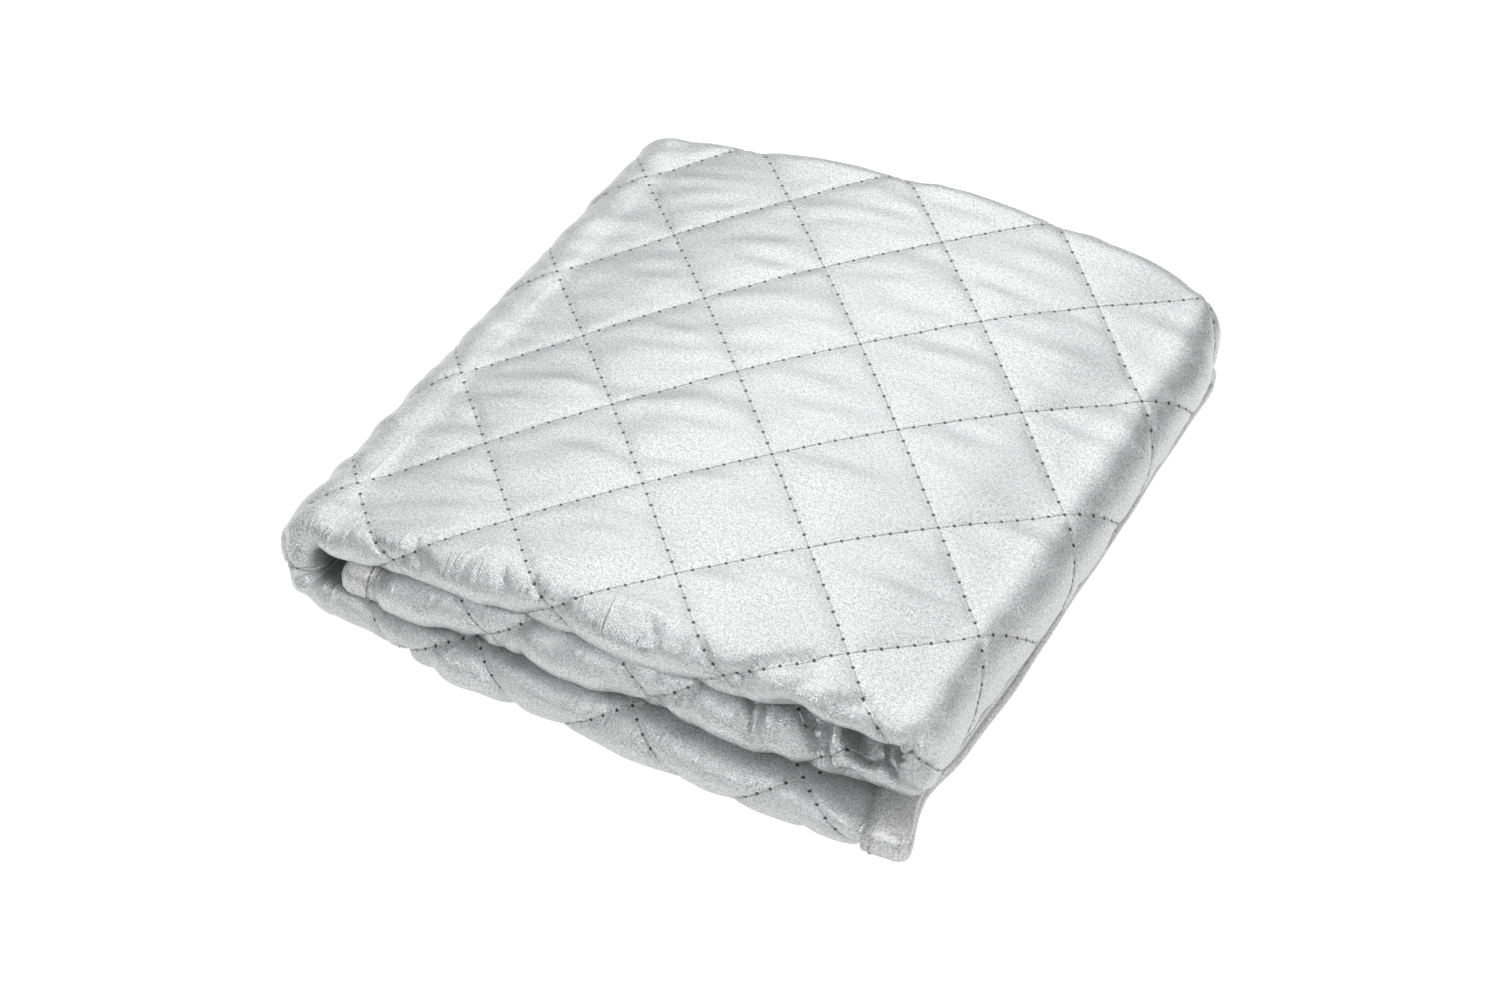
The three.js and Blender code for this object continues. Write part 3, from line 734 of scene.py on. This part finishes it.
def silver_cloth():
    """Satin cloth with a worn metallic coat: fine weave, sparkling grain, and painted shade that
    darkens the needle holes.
    """
    shader = Shader("silver_cloth")
    flat = shader.layer("sheet")
    warp, weft = (shader.stripes(shader.layer("sheet", Rotation=(0, 0, angle)), Scale=scale,
                                 Distortion=1.4, Detail=2, Detail_Scale=1.4)
                  for angle, scale in ((0.5, 520), (2.07, 430)))
    weave = shader.calc("MULTIPLY", warp, weft)
    grain = shader.noise(flat, Scale=1700, Detail=2, Roughness=0.6)
    flecks = shader.noise(flat, Scale=700, Detail=3, Roughness=0.7)
    worn = shader.noise(flat, Scale=22, Detail=5, Roughness=0.6)
    speckle = shader.calc("ADD", shader.calc("MULTIPLY", grain, 0.65),
                          shader.calc("MULTIPLY", flecks, 0.35))
    tone = shader.mix(shader.remap(speckle, 0.36, 0.6), grey(0.38, -0.004), grey(0.9, -0.004))
    tone = shader.mix(shader.remap(worn, 0.35, 0.75, 0.0, 0.22), tone, grey(0.62, -0.003))
    tone = shader.mix(shader.remap(weave, 0.0, 1.0, 0.12, 0.0), tone, grey(0.4))
    # The needle holes are painted near black, as painted shade of the holes.
    tone = shader.mix(painted_hole_shade(shader), tone, grey(0.07))
    height = shader.calc("ADD", shader.calc("MULTIPLY", weave, 0.6), speckle)
    fine = shader.relief(height, 0.0002, 0.85)
    shader.plug(shader.surface["Base Color"], tone)
    shader.plug(shader.surface["Roughness"], shader.remap(flecks, 0.3, 0.7, 0.29, 0.44))
    shader.plug(shader.surface["Normal"], fold_lines(shader, fine))
    shader.surface["Metallic"].default_value = 0.78
    shader.surface["Sheen Weight"].default_value = 0.08
    shader.surface["Sheen Roughness"].default_value = 0.4
    return shader.material


def ribbed_cloth(name, dark, light, rough, scale, metallic):
    """A plain ribbed cloth or thread in two greys."""
    shader = Shader(name)
    place = shader.node("ShaderNodeTexCoord").outputs["Object"]
    grain = shader.noise(place, Scale=scale, Detail=3, Roughness=0.65)
    ribs = shader.stripes(place, Scale=scale / 4, Distortion=2, Detail=2)
    height = shader.calc("ADD", grain, shader.calc("MULTIPLY", ribs, 0.5))
    tone = shader.mix(shader.remap(grain, 0.35, 0.62), grey(dark), grey(light))
    shader.plug(shader.surface["Base Color"], tone)
    shader.plug(shader.surface["Normal"], shader.relief(height, 0.00012, 0.7))
    shader.plug(shader.surface["Roughness"], shader.remap(grain, 0.3, 0.7, rough - 0.08, rough + 0.1))
    shader.surface["Metallic"].default_value = metallic
    return shader.material


# ---- pieces -------------------------------------------------------------------------------

# Edge tape: how far it stands over the pressed padding and off its mid-plane, the tape's own
# thickness, and the start of its round nose and how far that passes the padding's end.
TAPE_OVER, TAPE_UNDER, TAPE_SKIN = 0.75, 0.3, 0.7
NOSE_START, NOSE_PAST = 2.4, 1.2
CLEAR_OF_END = TAPE_WIDE + 1.0

# Edge seams: how far in they run, the length of a stitch, and distances along a stitch with the
# thread's height over the tape there.
SEAM_IN = 9.5
SEAM_STITCH = 3.2
SEAM_WAY = np.linspace(0.1, 2.9, 5)
SEAM_RISE = np.array([-0.3, 0.12, 0.2, 0.12, -0.3])

QUILT_THREAD_R, SEAM_THREAD_R = 0.24, 0.28

silver = silver_cloth()
thread = ribbed_cloth("thread", 0.42, 0.68, 0.6, 3000, 0.2)
tape = ribbed_cloth("edge_tape", 0.42, 0.9, 0.48, 1700, 0.6)

# The lengths of the sheet, from run to run, and the bodies that they move with.
SECTIONS = {
    "lower": (RUN_LOWER_END, RUN_FOLD, "lower_panel"),
    "fold": (RUN_FOLD, LEFT_X, None),
    "upper": (LEFT_X, RUN_MIDDLE_END, "upper_panels"),
}
QUILTING = {"lower": ["quilting_thread_lower"], "fold": ["quilting_thread_fold"],
            "upper": ["quilting_thread_upper", "quilting_thread_middle"]}


def dress(obj, material, nodes, body=None):
    """Gives a piece its material and its place in the frame; without a body its placement is baked into
    its mesh.
    """
    obj.data.materials.append(material)
    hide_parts(*nodes)
    if body:
        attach(obj, body)
    else:
        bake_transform(obj)


def quilted_sheet():
    """The three lengths of the sheet and their quilting."""
    for part, (start, stop, body) in SECTIONS.items():
        mat_piece = ply_solid(f"quilted_mat_{part}", start, stop)
        layers = [f"face_cloth_{part}", f"foam_core_{part}", f"backing_cloth_{part}"]
        dress(mat_piece, silver, layers, body)
        lines = quilt_stitches(start + 0.5, stop - 0.5)
        stitches = tubes(f"quilting_stitches_{part}", lines, QUILT_THREAD_R)
        dress(stitches, thread, QUILTING[part], body)


def tape_section(strip):
    """Rounded channel of the edge tape at one station: pairs of the distance in from the edge and
    the height over the padding's mid-plane, out along the outside and back along the inside."""
    outer, inner = strip.half - EDGE_PINCH + TAPE_OVER, TAPE_UNDER
    mid, reach = (outer + inner) / 2, (outer - inner) / 2
    turn = np.linspace(np.pi / 2, -np.pi / 2, 9)

    def nose(skin, angles):
        return [(NOSE_START - (NOSE_START + NOSE_PAST - skin) * math.cos(a),
                 mid + (reach - skin) * math.sin(a)) for a in angles]

    outside = [(TAPE_WIDE, outer), (7.5, outer + 0.1), (3.5, outer)]
    outside += nose(0.0, turn) + [(TAPE_WIDE, inner)]
    inside = [(TAPE_WIDE, inner + TAPE_SKIN)] + nose(TAPE_SKIN, turn[::-1])
    inside += [(d, outer - TAPE_SKIN) for d in (3.5, 7.5, TAPE_WIDE)]
    return np.array(outside + inside)


def flap_point(strip, way, e, r):
    """A point on a flap, e in from its bound edge. way 1 is the back flap, -1 the front one."""
    return strip.place(np.asarray(MEET_Y + way * (MEET_GAP + e)), -r)


def ring_solid(name, rings):
    """A closed body through equal rings of points, each of them a channel's section."""
    rings = np.asarray(rings)
    n, m = rings.shape[:2]
    index = np.arange(n * m).reshape(n, m)
    ahead = np.roll(index, -1, 1)
    quads = np.stack([index[:-1], ahead[:-1], ahead[1:], index[1:]], -1).reshape(-1, 4).tolist()
    for ring, flip in ((index[0], False), (index[-1], True)):
        for k in range(m // 2 - 1):
            quad = [ring[k], ring[k + 1], ring[m - 2 - k], ring[m - 1 - k]]
            quads.append(quad if flip else quad[::-1])
    points = rings.reshape(-1, 3)
    p, q, r, s = (points[corner] for corner in np.array(quads).T)
    volume = np.sum(p * (np.cross(q, r) + np.cross(r, s)))
    if volume < 0:
        quads = [quad[::-1] for quad in quads]
    return make_mesh(name, points, quads)


def side_tape(name, start, stop, way):
    """Tape along a flap's bound edge, a little uneven in width."""
    rings = []
    for run in np.linspace(start, stop, max(12, int((stop - start) / 3))):
        strip = Strip(np.array(run))
        sway = 0.25 * math.sin(run / 9.0 + way) + 0.15 * math.sin(run / 4.1)
        rings.append([flap_point(strip, way, e + sway * (0 < e < 9), r)
                      for e, r in tape_section(strip)])
    return ring_solid(name, rings)


def side_seam(start, stop, way):
    """The stitches that hold a side tape, each as a line of points."""
    lines = []
    for k in range(int((stop - start) / SEAM_STITCH)):
        strip = Strip(start + 0.3 + SEAM_STITCH * k + SEAM_WAY)
        height = strip.half - EDGE_PINCH + TAPE_OVER + SEAM_RISE
        lines.append(flap_point(strip, way, SEAM_IN, height))
    return lines


def side_edges():
    """The tapes and seams of the long edges, inside the pack."""
    for part, (start, stop, body) in SECTIONS.items():
        start += CLEAR_OF_END if part == "lower" else 0
        stop -= CLEAR_OF_END if part == "upper" else 0
        for way, flap in ((1, "back"), (-1, "front")):
            piece = side_tape(f"side_tape_{flap}_{part}", start, stop, way)
            dress(piece, tape, [f"side_binding_{flap}_{part}"], body)
            lines = side_seam(start, stop, way)
            seam = tubes(f"side_stitches_{flap}_{part}", lines, SEAM_THREAD_R)
            dress(seam, thread, [f"side_seam_{flap}_{part}"], body)


def end_tape(name, end_run, inwards):
    """Tape round an end of the strip, from one bound edge over both folds to the other."""
    first = Strip(np.array(end_run))
    flap = np.abs(np.array([first.back, first.front]) - MEET_Y) - MEET_GAP
    turns = np.linspace(0, 1, 15)
    # Stations: on a flap at a distance in from its edge, on a fold at a part of its turn, or on
    # the face at a y.
    walk = [("flap", 1, e) for e in np.linspace(0.2, flap[0], 30)[:-1]]
    walk += [("fold", 1, 1 - t) for t in turns]
    walk += [("face", 0, y) for y in np.linspace(float(first.back), float(first.front), 60)[1:-1]]
    walk += [("fold", -1, t) for t in turns]
    walk += [("flap", -1, e) for e in np.linspace(flap[1], 0.2, 30)[1:]]
    rings = []
    for n, (zone, way, k) in enumerate(walk):
        sway = np.array([0.22 * math.sin(n / 3.1) + 0.12 * math.sin(n / 1.3), 0, 0])
        ring = []
        for d, r in tape_section(first):
            strip = Strip(np.array(end_run + inwards * max(d, 0)))
            # x falls as run rises on both end panels, so the nose goes out by adding to x.
            strip.x = strip.x + inwards * max(-d, 0)
            if zone == "face":
                point = strip.place(np.array(k), r)
            elif zone == "flap":
                point = flap_point(strip, way, k, r)
            else:
                centre = strip.back if way > 0 else strip.front
                point = strip.place(centre + way * r * math.sin(math.pi * k), r * math.cos(math.pi * k))
            ring.append(point + sway)
        rings.append(ring)
    return ring_solid(name, rings)


def end_seam(end_run, inwards):
    """The stitches that hold an end tape, each as a line of points."""
    run = end_run + inwards * SEAM_IN
    strip = Strip(np.array(run))
    edges = []
    for centre, way in ((strip.back, 1), (strip.front, -1)):
        reach = abs(centre - MEET_Y) - MEET_GAP - 1
        edges.append(float(centre + way * (np.pi * strip.half + reach)))
    lines = []
    for k in range(int((edges[0] - edges[1]) / SEAM_STITCH)):
        b = edges[0] - SEAM_STITCH * k - SEAM_WAY
        lines.append(Strip(np.full(b.shape, run)).face_point(b, TAPE_OVER - EDGE_PINCH + SEAM_RISE))
    return lines


def end_edges():
    """The tapes and seams of the strip's two ends."""
    for part, end_run, inwards, body in (("lower", RUN_LOWER_END, 1, "lower_panel"),
                                         ("middle", RUN_MIDDLE_END, -1, "upper_panels")):
        piece = end_tape(f"end_tape_{part}", end_run, inwards)
        dress(piece, tape, [f"end_binding_{part}"], body)
        seam = tubes(f"end_stitches_{part}", end_seam(end_run, inwards), SEAM_THREAD_R)
        dress(seam, thread, [f"end_seam_{part}"], body)


# ---- stage --------------------------------------------------------------------------------

def disc(name, profile, steps=64):
    """A surface of revolution about the vertical, from pairs (radius, height) in metres."""
    turn = np.linspace(0, 2 * np.pi, steps, endpoint=False)
    points = [(r * math.cos(a), r * math.sin(a), z - 0.0004) for r, z in profile for a in turn]
    faces = [(a + k, a + steps + k, a + steps + (k + 1) % steps, a + (k + 1) % steps)
             for a in range(0, steps * (len(profile) - 1), steps) for k in range(steps)]
    mesh = bpy.data.meshes.new(name)
    mesh.from_pydata(points, [], faces)
    mesh.shade_smooth()
    obj = bpy.data.objects.new(name, mesh)
    bpy.context.scene.collection.objects.link(obj)
    return obj


def stage():
    """A pale table top under the pack, and the rest of the pale studio round it."""
    shader = Shader("floor")
    shader.surface["Base Color"].default_value = (0.5, 0.5, 0.5, 1)
    shader.surface["Roughness"].default_value = 0.9
    shader.surface["Emission Color"].default_value = (1, 1, 1, 1)
    shader.surface["Emission Strength"].default_value = 0.78
    # The cloth mirrors the table top; the surround is only a backdrop.
    table = disc("table", [(0.001, 0.0), (0.2, 0.0), (0.5, 0.0)])
    surround = disc("surround", [(0.5, 0.0), (2.2, 0.0), (2.9, 0.12), (3.4, 0.5), (3.7, 1.2),
                                 (3.8, 3.2)])
    surround.visible_diffuse = surround.visible_glossy = table.visible_diffuse = False
    for obj in (table, surround):
        obj.data.materials.append(shader.material)


def light(name, place, target, size, power):
    """A rectangular lamp turned to its target; lengths in metres."""
    data = bpy.data.lights.new(name, "AREA")
    data.shape = "RECTANGLE"
    data.size, data.size_y = size
    data.energy = power
    obj = bpy.data.objects.new(name, data)
    bpy.context.scene.collection.objects.link(obj)
    obj.location = place
    obj.rotation_euler = (Vector(target) - Vector(place)).to_track_quat("-Z", "Y").to_euler()


def studio():
    """A dim grey world with three lamps."""
    world = bpy.data.worlds.new("studio")
    world.use_nodes = True
    world.node_tree.nodes["Background"].inputs["Color"].default_value = (0.9, 0.92, 0.95, 1)
    world.node_tree.nodes["Background"].inputs["Strength"].default_value = 0.12
    bpy.context.scene.world = world
    light("top_box", (-0.5, 1.0, 1.7), (0, 0.1, 0), (3.4, 2.4), 51)
    light("front_box", (-0.2, -1.4, 1.4), (0, 0, 0), (0.6, 0.4), 15)
    light("right_box", (1.8, -0.2, 0.8), (0, 0, 0), (0.9, 0.8), 10)
    bpy.context.scene.view_settings.view_transform = "Standard"
    bpy.context.scene.view_settings.look = "None"


# A point on the pack, and how far the camera stands from it in half diagonals of the quilting.
LOOK_AT = np.array([11.3, -8.9, 54.0])
CAMERA_OFF = np.array([11.425, -21.969, 21.668])


def camera():
    """Looks down on the pack from the front, a little from the right."""
    azimuth, elevation = math.radians(28.54), math.radians(43.09)
    back = Vector((math.sin(azimuth) * math.cos(elevation), -math.cos(azimuth) * math.cos(elevation),
                   math.sin(elevation)))
    data = bpy.data.cameras.new("camera")
    data.sensor_width, data.lens = 36, 72
    data.clip_start, data.clip_end = 0.05, 20
    obj = bpy.data.objects.new("camera", data)
    bpy.context.scene.collection.objects.link(obj)
    obj.location = finished(LOOK_AT + CAMERA_OFF * HALF_X).tolist()
    obj.rotation_mode = "QUATERNION"
    obj.rotation_quaternion = (-back).to_track_quat("-Z", "Y")
    bpy.context.scene.camera = obj


quilted_sheet()
side_edges()
end_edges()
stage()
studio()
camera()
